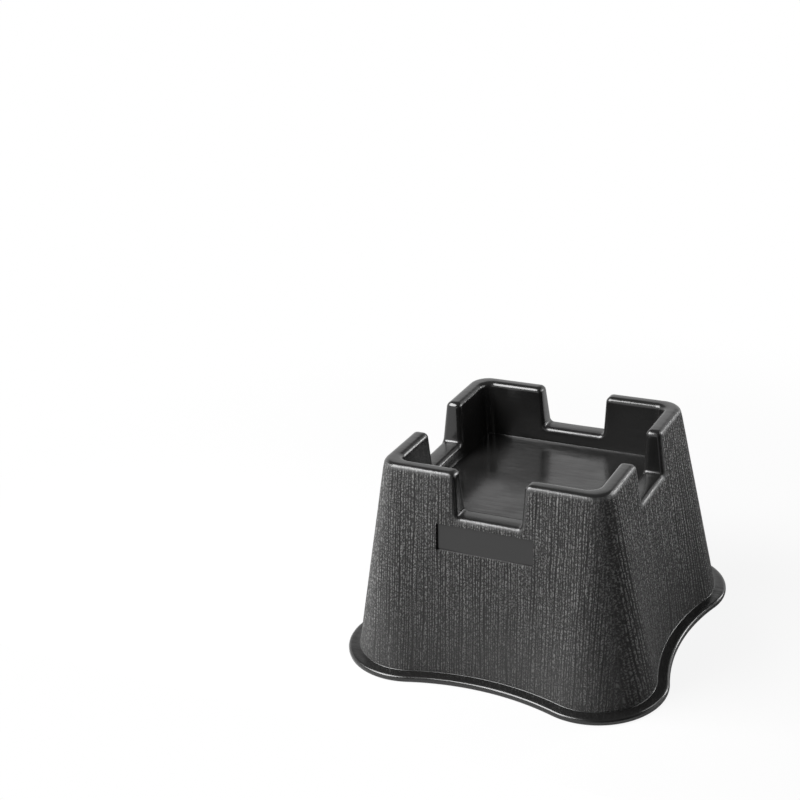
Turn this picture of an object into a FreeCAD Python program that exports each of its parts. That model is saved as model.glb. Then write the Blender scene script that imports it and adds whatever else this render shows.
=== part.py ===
import FreeCAD, Part
import math
import os

import Sketcher

# Bed riser: one hollow piece of moulded plastic, open underneath, in millimetres.
# A square tower widens downwards into a foot with four round lobes and four shallow waves.
# Its top is a square cup for the leg of a bed, with a notch in the middle of each side.
# The origin is on the floor under the middle of the riser, +Z up, the front towards -Y.

doc = FreeCAD.newDocument("bed_riser")

# Driving dimensions
sizes = doc.addObject("Spreadsheet::Sheet", "Sizes")
DRIVING = [
    ("height", 107.5, "floor to the top of the corner posts"),
    ("top_width", 119.0, "across the outside of the rim"),
    ("top_corner", 10.5, "radius of the rim's outside corners"),
    ("foot_width", 170.0, "across the lobes of the foot"),
    ("foot_corner", 35.5, "radius of a lobe of the foot"),
    ("wave_depth", 7.8, "how far the middle of each side lies inside the lobes"),
    ("foot_lip", 6.2, "how far the foot stands out from the wall"),
    ("foot_thickness", 2.9, "height of the foot's flat lip"),
    ("foot_edge", 1.5, "rounding of the lip's upper edge"),
    ("sole_edge", 0.6, "rounding of the lip's lower edge"),
    ("foot_cove", 0.8, "slope of plastic where the wall meets the lip"),
    ("wall", 2.8, "thickness of every wall, measured level"),
    ("rim_thickness", 3.0, "plastic over the hollow corner posts"),
    ("rim_width", 8.15, "outside of the rim to the cup's mouth"),
    ("cup_corner", 5.8, "radius of the cup's corners"),
    ("cup_depth", 29.9, "rim to the cup's floor"),
    ("cup_draft", 2.3, "lean of the cup's walls, in degrees"),
    ("floor_thickness", 3.0, "thickness of the cup's floor"),
    ("notch_width", 36.5, "across a notch at the rim"),
    ("notch_depth", 22.1, "rim to the floor of a notch"),
    ("notch_draft", 4.0, "lean of a notch's sides, in degrees"),
    ("notch_corner", 1.8, "hollow rounding at the foot of a notch's sides"),
    ("post_corner", 2.8, "rounding where a notch's side meets the rim"),
    ("rim_edge", 2.6, "rounding along both edges of the rim"),
    ("plate_width", 51.0, "bare plate under the front notch"),
    ("plate_height", 13.7, "height of the plate along the wall"),
    ("plate_gap", 4.2, "floor of the notch to the top of the plate"),
    ("plate_depth", 0.6, "how deep the plate lies in the wall"),
    ("plate_shift", 1.8, "how far the plate sits to the left of the notch's middle"),
    ("rib_thickness", 2.2, "thickness of a rib under the cup"),
    ("rib_depth", 14.0, "depth of the ribs below the cup's floor"),
    ("rib_pitch", 34.0, "middle to middle of two ribs"),
    ("rib_count", 2, "ribs each way"),
]
for row, (alias, value, meaning) in enumerate(DRIVING, start=1):
    sizes.set("A%d" % row, alias)
    sizes.set("B%d" % row, str(value))
    sizes.set("C%d" % row, meaning)
    sizes.setAlias("B%d" % row, alias)
doc.recompute()

# How far a cutting shape runs past the surface it opens.
OVERRUN = 5.0
# How near two points count as one place.
TOLERANCE = 0.01
# How many points of an edge are looked at.
SAMPLES = 7
# Where the tower's outline is drawn: evenly spaced levels from its foot to its rim.
TOWER_LEVELS = ["Base", "Middle", "Top"]


def cell(alias):
    """The expression that reads one driving dimension."""
    return "Sizes." + alias


def value(expression):
    """The number that an expression comes to."""
    found = sizes.evalExpression(expression)
    return float(getattr(found, "Value", found))


def between(low, high, share):
    """The expression for a size that lies part of the way from one to another."""
    return "(%s + (%s - %s) * %g)" % (low, high, low, share)


def new_body(name):
    """An empty body with planes of its own."""
    return doc.addObject("PartDesign::Body", name)


def plane(body, role):
    """One of the body's own origin planes."""
    for feature in body.Origin.OriginFeatures:
        if feature.Role == role:
            return feature
    raise ValueError(role)


def new_sketch(body, name, role, level="0"):
    """A sketch on one of the body's origin planes, moved along the plane's normal to a level."""
    sketch = body.newObject("Sketcher::SketchObject", name)
    sketch.AttachmentSupport = [(plane(body, role), "")]
    sketch.MapMode = "FlatFace"
    sketch.setExpression("AttachmentOffset.Base.z", level)
    return sketch


def drive(sketch, name, expression, *constraint):
    """Adds a dimension to a sketch, with its value bound to an expression."""
    index = sketch.addConstraint(Sketcher.Constraint(*constraint, value(expression)))
    sketch.renameConstraint(index, name)
    sketch.setExpression("Constraints." + name, expression)


def draw_outline(sketch, half, corner, depth):
    """Draws a square of half-width `half` with round corners, whose sides bow in by `depth`.

    Corner arcs of radius r stand at (c, c), c = half - r. A side whose middle lies at v = half - depth
    is an arc bowed the other way, of radius R = (c^2 + (v - c)^2 - r^2) / (2 depth), tangent to both
    corners. With no depth the side is a straight line.
    """
    r = value(corner)
    c = value("%s - %s" % (half, corner))
    bowed = value(depth) > 0
    reach = "%s - %s" % (half, depth)
    centre = "(%s - %s)" % (half, corner)
    bow = "((%s^2 + (%s - %s)^2 - (%s)^2) / (2 * %s))" % (centre, reach, centre, corner, depth)
    side_radius = value(bow) if bowed else 0.0
    side_centre = value(reach) + side_radius
    swing = math.asin(c / (side_radius + r)) if bowed else 0.0
    up = FreeCAD.Vector(0, 0, 1)
    lobes = []
    sides = []
    for turn in range(4):
        angle = turn * math.pi / 2
        corner_angle = angle + math.pi / 4
        middle = FreeCAD.Vector(math.cos(corner_angle), math.sin(corner_angle), 0) * (c * math.sqrt(2))
        circle = Part.Circle(middle, up, r)
        lobe = Part.ArcOfCircle(circle, angle - swing, angle + math.pi / 2 + swing)
        lobes.append(sketch.addGeometry(lobe, False))
    for turn in range(4):
        angle = turn * math.pi / 2
        outward = FreeCAD.Vector(math.cos(angle), math.sin(angle), 0)
        along = FreeCAD.Vector(-math.sin(angle), math.cos(angle), 0)
        if bowed:
            circle = Part.Circle(outward * side_centre, up, side_radius)
            side = Part.ArcOfCircle(circle, angle + math.pi - swing, angle + math.pi + swing)
        else:
            edge = outward * value(half)
            side = Part.LineSegment(edge + along * c, edge - along * c)
        sides.append(sketch.addGeometry(side, False))
    for turn, lobe in enumerate(lobes):
        right = turn in (0, 3)
        top = turn in (0, 1)
        drive(sketch, "lobe_radius_%d" % turn, corner, "Radius", lobe)
        drive(sketch, "lobe_x_%d" % turn, centre if right else "-" + centre, "DistanceX", -1, 1, lobe, 3)
        drive(sketch, "lobe_y_%d" % turn, centre if top else "-" + centre, "DistanceY", -1, 1, lobe, 3)
    for turn, side in enumerate(sides):
        sketch.addConstraint(Sketcher.Constraint("Tangent", lobes[turn], 1, side, 1))
        sketch.addConstraint(Sketcher.Constraint("Tangent", lobes[turn - 1], 2, side, 2))
    if bowed:
        out = "(%s + %s)" % (reach, bow)
        drive(sketch, "side_0", out, "DistanceX", -1, 1, sides[0], 3)
        drive(sketch, "side_1", out, "DistanceY", -1, 1, sides[1], 3)
        drive(sketch, "side_2", "-" + out, "DistanceX", -1, 1, sides[2], 3)
        drive(sketch, "side_3", "-" + out, "DistanceY", -1, 1, sides[3], 3)


def outline_sketch(body, name, level, half, corner, depth="0"):
    """A level sketch that holds one such outline."""
    sketch = new_sketch(body, name, "XY_Plane", level)
    draw_outline(sketch, half, corner, depth)
    doc.recompute()
    return sketch


def loft(body, name, levels):
    """A solid whose straight-ruled sides join outlines at several levels."""
    feature = body.newObject("PartDesign::AdditiveLoft", name)
    feature.Profile = levels[0]
    feature.Sections = levels[1:]
    feature.Ruled = True
    doc.recompute()
    return feature


def tower(body, name, setback):
    """The riser's flared tower, or its core, which lies inside the tower's surface by `setback`.

    Its outline is drawn at the lip, halfway up and at the rim, and each drawing's half-width, corner
    and depth of wave is halfway between its neighbours', so the walls run straight from lip to rim.
    """
    levels = []
    for step, name_end in enumerate(TOWER_LEVELS):
        share = step / (len(TOWER_LEVELS) - 1)
        level = between(cell("foot_thickness"), cell("height"), share)
        half = "(%s - %s)" % (between(WALL_HALF, TOP_HALF, share), setback)
        corner = "(%s - %s)" % (between(WALL_CORNER, cell("top_corner"), share), setback)
        depth = between(cell("wave_depth"), "0", share)
        levels.append(outline_sketch(body, name + name_end, level, half, corner, depth))
    return loft(body, name, levels)


def pad(body, name, sketch, length):
    """Raises a sketch into a solid of a given height."""
    feature = body.newObject("PartDesign::Pad", name)
    feature.Profile = sketch
    feature.setExpression("Length", length)
    doc.recompute()
    return feature


def pocket(body, name, sketch, length, draft=None):
    """Cuts a sketch down to a depth. A draft angle leans the walls in as the cut goes down."""
    before = body.Shape.Volume
    feature = body.newObject("PartDesign::Pocket", name)
    feature.Profile = sketch
    feature.setExpression("Length", length)
    if draft:
        feature.setExpression("TaperAngle", "-" + draft)
    doc.recompute()
    if not body.Shape.Volume < before:
        raise ValueError(name + " cuts nothing")
    return feature


def slot(body, name, sketch):
    """Cuts a sketch right through the body, both ways from its plane."""
    before = body.Shape.Volume
    feature = body.newObject("PartDesign::Pocket", name)
    feature.Profile = sketch
    feature.SideType = "Symmetric"
    feature.setExpression("Length", "%s + %g" % (cell("foot_width"), OVERRUN))
    doc.recompute()
    if not body.Shape.Volume < before:
        raise ValueError(name + " cuts nothing")
    return feature


def round_edges(body, name, base, chosen, radius):
    """Rounds the edges of a feature for which `chosen` is true."""
    names = ["Edge%d" % n for n, edge in enumerate(base.Shape.Edges, start=1) if chosen(edge)]
    feature = body.newObject("PartDesign::Fillet", name)
    feature.Base = (base, names)
    feature.setExpression("Radius", radius)
    doc.recompute()
    return feature


def samples(edge):
    """Points along an edge, ends included."""
    return edge.discretize(SAMPLES)


def notch_sketch(body, name, role, setback):
    """The section of two facing notches: a trapezium that narrows downwards, open above the rim.

    Its floor and sides lie outside the notch's own by `setback`, measured square to each.
    """
    sketch = new_sketch(body, name, role)
    lean = "(%s * 1 deg)" % cell("notch_draft")
    at_rim = "(%s / 2 + %s / cos%s)" % (cell("notch_width"), setback, lean)
    floor = "(%s - %s - %s)" % (cell("height"), cell("notch_depth"), setback)
    above = "(%s + %g)" % (cell("height"), OVERRUN)
    low_half = "(%s - (%s - %s) * tan%s)" % (at_rim, cell("height"), floor, lean)
    high_half = "(%s + %g * tan%s)" % (at_rim, OVERRUN, lean)
    corners = []
    for half, level in ((low_half, floor), (high_half, above)):
        corners.append((value(half), value(level)))
    (low, bottom), (high, top) = corners
    points = [
        FreeCAD.Vector(-low, bottom, 0),
        FreeCAD.Vector(low, bottom, 0),
        FreeCAD.Vector(high, top, 0),
        FreeCAD.Vector(-high, top, 0),
    ]
    lines = []
    for start, end in zip(points, points[1:] + points[:1]):
        lines.append(sketch.addGeometry(Part.LineSegment(start, end), False))
    for line, following in zip(lines, lines[1:] + lines[:1]):
        sketch.addConstraint(Sketcher.Constraint("Coincident", line, 2, following, 1))
    for line in (lines[0], lines[2]):
        sketch.addConstraint(Sketcher.Constraint("Symmetric", line, 1, line, 2, -2))
    drive(sketch, "floor_level", floor, "DistanceY", -1, 1, lines[0], 2)
    drive(sketch, "top_level", above, "DistanceY", -1, 1, lines[2], 1)
    drive(sketch, "floor_half", low_half, "DistanceX", -1, 1, lines[0], 2)
    drive(sketch, "top_half", high_half, "DistanceX", -1, 1, lines[2], 1)
    doc.recompute()
    return sketch


def draw_rectangle(sketch, name, width, height, middle_x="0", middle_y="0"):
    """Draws a rectangle of a given width and height round a middle."""
    half_w = value(width) / 2
    half_h = value(height) / 2
    x = value(middle_x)
    y = value(middle_y)
    points = [
        FreeCAD.Vector(x - half_w, y - half_h, 0),
        FreeCAD.Vector(x + half_w, y - half_h, 0),
        FreeCAD.Vector(x + half_w, y + half_h, 0),
        FreeCAD.Vector(x - half_w, y + half_h, 0),
    ]
    lines = []
    for start, end in zip(points, points[1:] + points[:1]):
        lines.append(sketch.addGeometry(Part.LineSegment(start, end), False))
    for line, following in zip(lines, lines[1:] + lines[:1]):
        sketch.addConstraint(Sketcher.Constraint("Coincident", line, 2, following, 1))
    for level in (lines[0], lines[2]):
        sketch.addConstraint(Sketcher.Constraint("Horizontal", level))
    for upright in (lines[1], lines[3]):
        sketch.addConstraint(Sketcher.Constraint("Vertical", upright))
    left = "%s - %s / 2" % (middle_x, width)
    right = "%s + %s / 2" % (middle_x, width)
    low = "%s - %s / 2" % (middle_y, height)
    high = "%s + %s / 2" % (middle_y, height)
    drive(sketch, name + "_left", left, "DistanceX", -1, 1, lines[3], 1)
    drive(sketch, name + "_right", right, "DistanceX", -1, 1, lines[1], 1)
    drive(sketch, name + "_low", low, "DistanceY", -1, 1, lines[0], 1)
    drive(sketch, name + "_high", high, "DistanceY", -1, 1, lines[2], 1)


def in_cup(point):
    """True for a point inside the square of the cup's mouth, seen from above."""
    half = value(CUP_HALF) + TOLERANCE
    return abs(point.x) < half and abs(point.y) < half


def all_at(edge, level):
    """True for an edge that stays at one height."""
    return all(abs(point.z - level) < TOLERANCE for point in samples(edge))


def crosses_rim(edge):
    """True for an edge that runs from the cup to the outside of the riser."""
    ends = [in_cup(vertex.Point) for vertex in edge.Vertexes]
    return True in ends and False in ends


def along_rim(edge):
    """True for an edge of the rim's winding outline, on the cup's side or on the outside."""
    high = all(point.z > NOTCH_FLOOR - TOLERANCE for point in samples(edge))
    return high and not crosses_rim(edge)


def on_lip(edge):
    """True for an edge of the lip's own upper outline, not of the wall that stands on it."""
    middle = samples(edge)[SAMPLES // 2]
    beside = Part.Vertex(middle.x, middle.y, 0)
    inset = foot_outline.Shape.distToShape(beside)[0]
    return all_at(edge, LIP_TOP) and inset < LIP / 2


# Heights and widths that several features share
LIP = value(cell("foot_lip"))
LIP_TOP = value(cell("foot_thickness"))
RIM_TOP = value(cell("height"))
NOTCH_FLOOR = value("%s - %s" % (cell("height"), cell("notch_depth")))
WALL_HALF = "(%s / 2 - %s)" % (cell("foot_width"), cell("foot_lip"))
WALL_CORNER = "(%s - %s)" % (cell("foot_corner"), cell("foot_lip"))
TOP_HALF = "(%s / 2)" % cell("top_width")
CUP_HALF = "(%s - %s)" % (TOP_HALF, cell("rim_width"))


# The outside of the riser: a tower on a lipped foot, still solid inside

riser = new_body("riser")
riser.Label = "riser"
tower(riser, "Tower", "0")
skirt_base = outline_sketch(riser, "SkirtBase", cell("foot_thickness"),
                            "(%s + %s)" % (WALL_HALF, cell("foot_cove")),
                            "(%s + %s)" % (WALL_CORNER, cell("foot_cove")), cell("wave_depth"))
# It rises as far as it runs in, from outside the wall to inside it.
SKIRT_TOP = "(%s + %s + %s)" % (cell("foot_thickness"), cell("foot_cove"), cell("foot_cove"))
skirt_top = outline_sketch(riser, "SkirtTop", SKIRT_TOP,
                           "(%s - %s)" % (WALL_HALF, cell("foot_cove")),
                           "(%s - %s)" % (WALL_CORNER, cell("foot_cove")), cell("wave_depth"))
loft(riser, "Skirt", [skirt_base, skirt_top])
foot_outline = outline_sketch(riser, "FootOutline", "0", "(%s / 2)" % cell("foot_width"),
                              cell("foot_corner"), cell("wave_depth"))
foot = pad(riser, "Foot", foot_outline, cell("foot_thickness"))
lip = round_edges(riser, "LipEdge", foot, on_lip, cell("foot_edge"))
round_edges(riser, "SoleEdge", lip, lambda edge: all_at(edge, 0.0), cell("sole_edge"))

# The cup for the bed's leg, and the four notches that turn its rim into corner posts

cup_mouth = outline_sketch(riser, "CupMouth", cell("height"), CUP_HALF, cell("cup_corner"))
pocket(riser, "Cup", cup_mouth, cell("cup_depth"), cell("cup_draft"))
front_back = notch_sketch(riser, "NotchFrontBack", "XZ_Plane", "0")
slot(riser, "NotchesFrontBack", front_back)
left_right = notch_sketch(riser, "NotchLeftRight", "YZ_Plane", "0")
notches = slot(riser, "NotchesLeftRight", left_right)
hollows = round_edges(riser, "NotchHollows", notches,
                      lambda edge: crosses_rim(edge) and all_at(edge, NOTCH_FLOOR),
                      cell("notch_corner"))
posts = round_edges(riser, "PostCorners", hollows,
                    lambda edge: crosses_rim(edge) and all_at(edge, RIM_TOP),
                    cell("post_corner"))
round_edges(riser, "RimEdges", posts, along_rim, cell("rim_edge"))

# The bare plate under the front notch: a flat shallow recess that leans with the wall

wall_run = "(%s - %s - %s)" % (WALL_HALF, cell("wave_depth"), TOP_HALF)
wall_rise = "(%s - %s)" % (cell("height"), cell("foot_thickness"))
wall_lean = "atan(%s / %s)" % (wall_run, wall_rise)
plate_drop = "(%s + %s + %s / 2)" % (cell("notch_depth"), cell("plate_gap"), cell("plate_height"))
plate_out = "(%s + %s * %s / %s + %g * cos(%s))" % (TOP_HALF, plate_drop, wall_run, wall_rise,
                                                    OVERRUN, wall_lean)
plate_up = "%s - %s + %g * sin(%s)" % (cell("height"), plate_drop, OVERRUN, wall_lean)
plate_outline = new_sketch(riser, "PlateOutline", "XZ_Plane", plate_out)
plate_outline.AttachmentOffset.Rotation = FreeCAD.Rotation(FreeCAD.Vector(-1, 0, 0), value(wall_lean))
plate_outline.setExpression("AttachmentOffset.Base.x", "-%s" % cell("plate_shift"))
plate_outline.setExpression("AttachmentOffset.Base.y", plate_up)
plate_outline.setExpression("AttachmentOffset.Rotation.Angle", wall_lean)
draw_rectangle(plate_outline, "plate", cell("plate_width"), cell("plate_height"))
doc.recompute()
pocket(riser, "Plate", plate_outline, "%s + %g" % (cell("plate_depth"), OVERRUN))

# The core: the space that the riser's walls enclose, open at the floor.
# It keeps clear of the cup and the notches by the thickness of their walls.

core = new_body("Core")
tower(core, "CoreTower", cell("wall"))
core_foot = outline_sketch(core, "CoreFoot", "-%g" % OVERRUN,
                           "(%s - %s)" % (WALL_HALF, cell("wall")),
                           "(%s - %s)" % (WALL_CORNER, cell("wall")), cell("wave_depth"))
pad(core, "CoreMouth", core_foot, "%s + %g" % (cell("foot_thickness"), OVERRUN))
rim_block = new_sketch(core, "RimBlock", "XY_Plane", cell("height"))
draw_rectangle(rim_block, "rim", cell("top_width"), cell("top_width"))
doc.recompute()
pocket(core, "RimSkin", rim_block, cell("rim_thickness"))
cup_block = outline_sketch(core, "CupBlock", cell("height"), "(%s + %s)" % (CUP_HALF, cell("wall")),
                           "(%s + %s)" % (cell("cup_corner"), cell("wall")))
CUP_BLOCK_DEPTH = "(%s + %s)" % (cell("cup_depth"), cell("floor_thickness"))
pocket(core, "CupWalls", cup_block, CUP_BLOCK_DEPTH, cell("cup_draft"))
for name, role in (("FrontBack", "XZ_Plane"), ("LeftRight", "YZ_Plane")):
    section = notch_sketch(core, "Saddle" + name, role, cell("wall"))
    slot(core, "Saddles" + name, section)

# Ribs under the cup's floor, as slots in the core

FLOOR_UNDERSIDE = "(%s - %s)" % (cell("height"), CUP_BLOCK_DEPTH)
RIB_SPAN = "(2 * (%s + %s - %s * tan(%s * 1 deg)))" % (CUP_HALF, cell("wall"), CUP_BLOCK_DEPTH,
                                                      cell("cup_draft"))
for number in range(int(value(cell("rib_count")))):
    across = "(%d - (%s - 1) / 2) * %s" % (number, cell("rib_count"), cell("rib_pitch"))
    for name, size, place in (
        ("RibX", (RIB_SPAN, cell("rib_thickness")), ("0", across)),
        ("RibY", (cell("rib_thickness"), RIB_SPAN), (across, "0")),
    ):
        rib = new_sketch(core, "%s%dOutline" % (name, number), "XY_Plane", FLOOR_UNDERSIDE)
        draw_rectangle(rib, "rib", *size, *place)
        doc.recompute()
        pocket(core, "%s%d" % (name, number), rib, cell("rib_depth"))

# The riser is the outside less the core

outside_volume = riser.Shape.Volume
hollow = riser.newObject("PartDesign::Boolean", "Hollow")
hollow.Type = "Cut"
hollow.setObjects([core])
doc.recompute()

# Checks, then the file

for feature in doc.Objects:
    if "Invalid" in feature.State or "Error" in feature.State:
        raise RuntimeError("%s failed: %s" % (feature.Name, feature.State))
if riser.Shape.isNull() or not riser.Shape.isValid() or len(riser.Shape.Solids) != 1:
    raise RuntimeError("the riser is not one valid solid")
print("outside %.0f mm3, riser %.0f mm3" % (outside_volume, riser.Shape.Volume))
box = riser.Shape.optimalBoundingBox()
print("box %.2f x %.2f x %.2f mm" % (box.XLength, box.YLength, box.ZLength))
os.makedirs("parts", exist_ok=True)
riser.Shape.exportStep("parts/riser.step")
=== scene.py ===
# %% [markdown]
# # A bed riser in black moulded plastic
#
# The riser is one hollow block that lifts the leg of a bed. Its walls flare from a square rim to a foot
# with four round lobes and four shallow waves. The rim is cut into four corner posts by four notches,
# and between the posts lies a square cup. The outside walls carry an upright wood grain, and the rim,
# the cup and the lip of the foot are smooth.
#
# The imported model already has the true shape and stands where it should, so it is loaded first. The
# script then builds the same form again as one clean mesh of even, four-sided faces, because a grain
# needs a surface whose points run the way the grain runs.

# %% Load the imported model
import math
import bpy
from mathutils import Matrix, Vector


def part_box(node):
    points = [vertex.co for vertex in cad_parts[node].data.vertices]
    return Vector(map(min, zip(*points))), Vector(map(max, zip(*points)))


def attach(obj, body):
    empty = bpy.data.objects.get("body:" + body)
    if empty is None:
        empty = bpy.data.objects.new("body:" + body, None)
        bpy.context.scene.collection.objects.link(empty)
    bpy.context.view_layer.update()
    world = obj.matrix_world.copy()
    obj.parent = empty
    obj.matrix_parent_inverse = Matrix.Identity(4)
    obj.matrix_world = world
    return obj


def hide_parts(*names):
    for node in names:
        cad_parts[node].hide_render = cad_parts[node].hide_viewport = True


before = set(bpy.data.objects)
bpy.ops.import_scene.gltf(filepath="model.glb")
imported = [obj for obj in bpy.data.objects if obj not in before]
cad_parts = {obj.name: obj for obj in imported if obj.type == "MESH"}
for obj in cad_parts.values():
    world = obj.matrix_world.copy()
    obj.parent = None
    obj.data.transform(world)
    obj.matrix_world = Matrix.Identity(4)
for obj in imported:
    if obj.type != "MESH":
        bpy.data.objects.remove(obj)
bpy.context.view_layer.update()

from types import SimpleNamespace

import bmesh
import bpy
import numpy as np
from mathutils import Matrix, Vector

MM = 0.001
cad_low, cad_high = (np.array(corner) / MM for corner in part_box("riser"))
HEIGHT = cad_high[2]
FOOT_HALF = min(*cad_high[:2], *-cad_low[:2])
print("riser: foot %.2f mm wide, %.2f mm high" % (2 * FOOT_HALF, HEIGHT))

# %% [markdown]
# ## The camera
#
# A product photograph is taken with a long lens from a little above. The camera stands at a turn and a
# rise about the riser, and leans slightly. It is placed by the distances from its own axis to the
# middle of the foot, so that the riser comes to lie low and right in the picture, where it was seen.

# %% The camera
CAMERA_TURN = math.radians(27.05)
CAMERA_RISE = math.radians(23.01)
CAMERA_LEAN = math.radians(-3.24)
# How far the middle of the foot lies right of, above and in front of the camera's eye.
FOOT_RIGHT, FOOT_ABOVE, FOOT_AHEAD = 54.2, -114.5, 785.4
PICTURE = 800
FOCAL_PIXELS = 1471.6
AXIS_PIXEL = 440

back = Vector((math.sin(CAMERA_TURN) * math.cos(CAMERA_RISE),
               -math.cos(CAMERA_TURN) * math.cos(CAMERA_RISE),
               math.sin(CAMERA_RISE)))
level = Vector((math.cos(CAMERA_TURN), math.sin(CAMERA_TURN), 0))
upright = back.cross(level)
right = math.cos(CAMERA_LEAN) * level + math.sin(CAMERA_LEAN) * upright
upward = -math.sin(CAMERA_LEAN) * level + math.cos(CAMERA_LEAN) * upright

camera_data = bpy.data.cameras.new("camera")
camera_data.lens = FOCAL_PIXELS * camera_data.sensor_width / PICTURE
camera_data.shift_x = -(AXIS_PIXEL - PICTURE / 2) / PICTURE
camera = bpy.data.objects.new("camera", camera_data)
eye = (FOOT_AHEAD * back - FOOT_RIGHT * right - FOOT_ABOVE * upward) * MM
camera.matrix_world = Matrix.Translation(eye) @ Matrix((right, upward, back)).transposed().to_4x4()
bpy.context.scene.collection.objects.link(camera)
bpy.context.scene.camera = camera
print("camera: lens %.1f mm, %.2f m from the riser" % (camera_data.lens, eye.length))

# %% [markdown]
# ## The riser's sizes
#
# These are the sizes of the moulding in millimetres. The overall width and height come from the packed
# model, and the rest repeats the driving sizes that it was made with. Only the hollow rounding between
# wall and lip is drawn a little smaller, for a crisper line.

# %% The sizes
RIM_HALF = 59.5
RIM_CORNER = 10.5
FOOT_CORNER = 35.5
WAVE = 7.8
LIP = 6.2
LIP_TOP = 2.9
LIP_EDGE = 1.5
SOLE_EDGE = 0.6
COVE = 0.5
WALL = 2.8
RIM_SKIN = 3.0
RIM_EDGE = 2.6
CUP_HALF = RIM_HALF - 8.15
CUP_CORNER = 5.8
CUP_FLOOR = HEIGHT - 29.9
CUP_LEAN = math.tan(math.radians(2.3))
FLOOR_SKIN = 3.0
FLOOR_COVE = 0.2
NOTCH_HALF = 18.25
NOTCH_FLOOR = HEIGHT - 22.1
NOTCH_DRAFT = math.radians(4.0)
NOTCH_HOLLOW = 1.8
POST_CORNER = 2.8
PLATE_HALF = 25.5
PLATE_TOP = NOTCH_FLOOR - 4.2
PLATE_BOTTOM = PLATE_TOP - 13.6
PLATE_SHIFT = 1.8
PLATE_FADE = 20.0
PLATE_DEPTH = 0.6
RIB_MIDDLE = 17.0
RIB_HALF = 1.1
RIB_DEPTH = 14.0
# A wave this shallow is a straight side.
STRAIGHT = 1e-4
print("cup: %.1f mm wide, its floor %.1f mm up" % (2 * CUP_HALF, CUP_FLOOR))

# %% [markdown]
# ## The outline, as a function
#
# Every level cut through the riser is the same kind of figure: four round lobes joined by four sides
# that bow inwards. Three sizes describe it at any height: the half-width, the radius of the lobes and
# the depth of the wave. Between foot and rim each of them runs in a straight line, and that alone
# turns the wavy foot into a square rim. One function of a column round the figure and a height up the
# wall therefore gives the whole tower.
#
# The columns are numbered round the figure. A quarter has 112 columns across its side and 80 across
# its lobe. They stand closer where a detail needs an edge: at the sides of a notch and of the plate.

# %% Columns round the riser
SIDE_COLUMNS = 56
LOBE_COLUMNS = 80
QUARTER_COLUMNS = 2 * SIDE_COLUMNS + LOBE_COLUMNS
# Columns at the hollow's centre, the notch's side, the post corner's centre and the plate's end.
AT_HOLLOW, AT_NOTCH, AT_POST, AT_PLATE = 19, 24, 27, 31
COARSE_STEP = 4


def make_columns(every):
    """Columns of all four quarters: the quarter, steps from the middle of the side, share of the lobe."""
    number = np.arange(0, 4 * QUARTER_COLUMNS, every)
    step = number % QUARTER_COLUMNS
    lobe = step >= 2 * SIDE_COLUMNS
    return SimpleNamespace(
        turn=number // QUARTER_COLUMNS * (math.pi / 2),
        lobe=lobe,
        step=np.where(lobe, 0, step - SIDE_COLUMNS),
        share=np.where(lobe, (step - 2 * SIDE_COLUMNS) / LOBE_COLUMNS, 0.0),
        facing=(number + LOBE_COLUMNS // 2) // QUARTER_COLUMNS % 4,
        every=every,
    )


FINE = make_columns(1)
COARSE = make_columns(COARSE_STEP)
print("columns: %d fine, %d coarse" % (len(FINE.step), len(COARSE.step)))


# %% The outline
def arc_of_side(half, corner, wave):
    """The lobe's centre, the side's middle and radius, and the turn at which the side meets the lobe.

    With the lobe's centre at (c, -c), c = half - corner, and the side's middle at v = half - wave, the
    side is an arc of radius R = (c^2 + (v - c)^2 - corner^2) / (2 wave) bowed inwards. It touches the
    lobe where the line between their centres leans by an angle whose sine is c / (R + corner).
    """
    centre = half - corner
    middle = half - wave
    bow = (centre**2 + (middle - centre)**2 - corner**2) / (2 * wave)
    return centre, middle, bow, np.arcsin(centre / (bow + corner))


def side_end(size):
    """Place along the side where it meets the lobe: c - corner * sine of the turn."""
    centre, _, _, swing = arc_of_side(*size)
    return centre - size[1] * np.sin(swing)


def outline(columns, along, size):
    """Plan position of outline points and the level direction that leads out of the figure.

    On a side, a point at `along` lies at depth v + along^2 / (R + root(R^2 - along^2)) from the middle.
    On a lobe, the angle runs from the end of one side to the start of the next in equal steps.
    """
    half, corner, wave = size
    centre, middle, bow, swing = arc_of_side(half, corner, wave)
    flat = np.sqrt(bow**2 - along**2)
    angle = -(math.pi / 2 + swing) + columns.share * (math.pi / 2 + 2 * swing)
    x = np.where(columns.lobe, centre + corner * np.cos(angle), along)
    y = np.where(columns.lobe, -centre + corner * np.sin(angle), -(middle + along**2 / (bow + flat)))
    out_x = np.where(columns.lobe, np.cos(angle), -along / bow)
    out_y = np.where(columns.lobe, np.sin(angle), -flat / bow)
    cos, sin = np.cos(columns.turn), np.sin(columns.turn)
    place = np.stack([x * cos - y * sin, x * sin + y * cos], axis=-1)
    out = np.stack([out_x * cos - out_y * sin, out_x * sin + out_y * cos], axis=-1)
    return place, out


def spread(columns, knots):
    """Place along the side of every column, in rows, by straight steps between knots.

    `knots` gives, for a column counted from the middle of the side, its place in each row.
    """
    numbers = list(knots)
    hats = [np.interp(np.abs(columns.step), numbers, hat) for hat in np.eye(len(numbers))]
    rows = max(np.size(place) for place in knots.values())
    places = [np.broadcast_to(place, rows) for place in knots.values()]
    return np.sign(columns.step) * sum(np.outer(place, hat) for place, hat in zip(places, hats))


def tower_size(z, setback=0.0):
    """Half-width, lobe radius and wave of the tower at a height: straight lines from lip to rim."""
    share = np.clip((z - LIP_TOP) / (HEIGHT - LIP_TOP), 0.0, 1.0)
    half = FOOT_HALF - LIP + (RIM_HALF - FOOT_HALF + LIP) * share
    corner = FOOT_CORNER - LIP + (RIM_CORNER - FOOT_CORNER + LIP) * share
    wave = np.maximum(WAVE * (1.0 - share), STRAIGHT)
    return half - setback, corner - setback, wave


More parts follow.
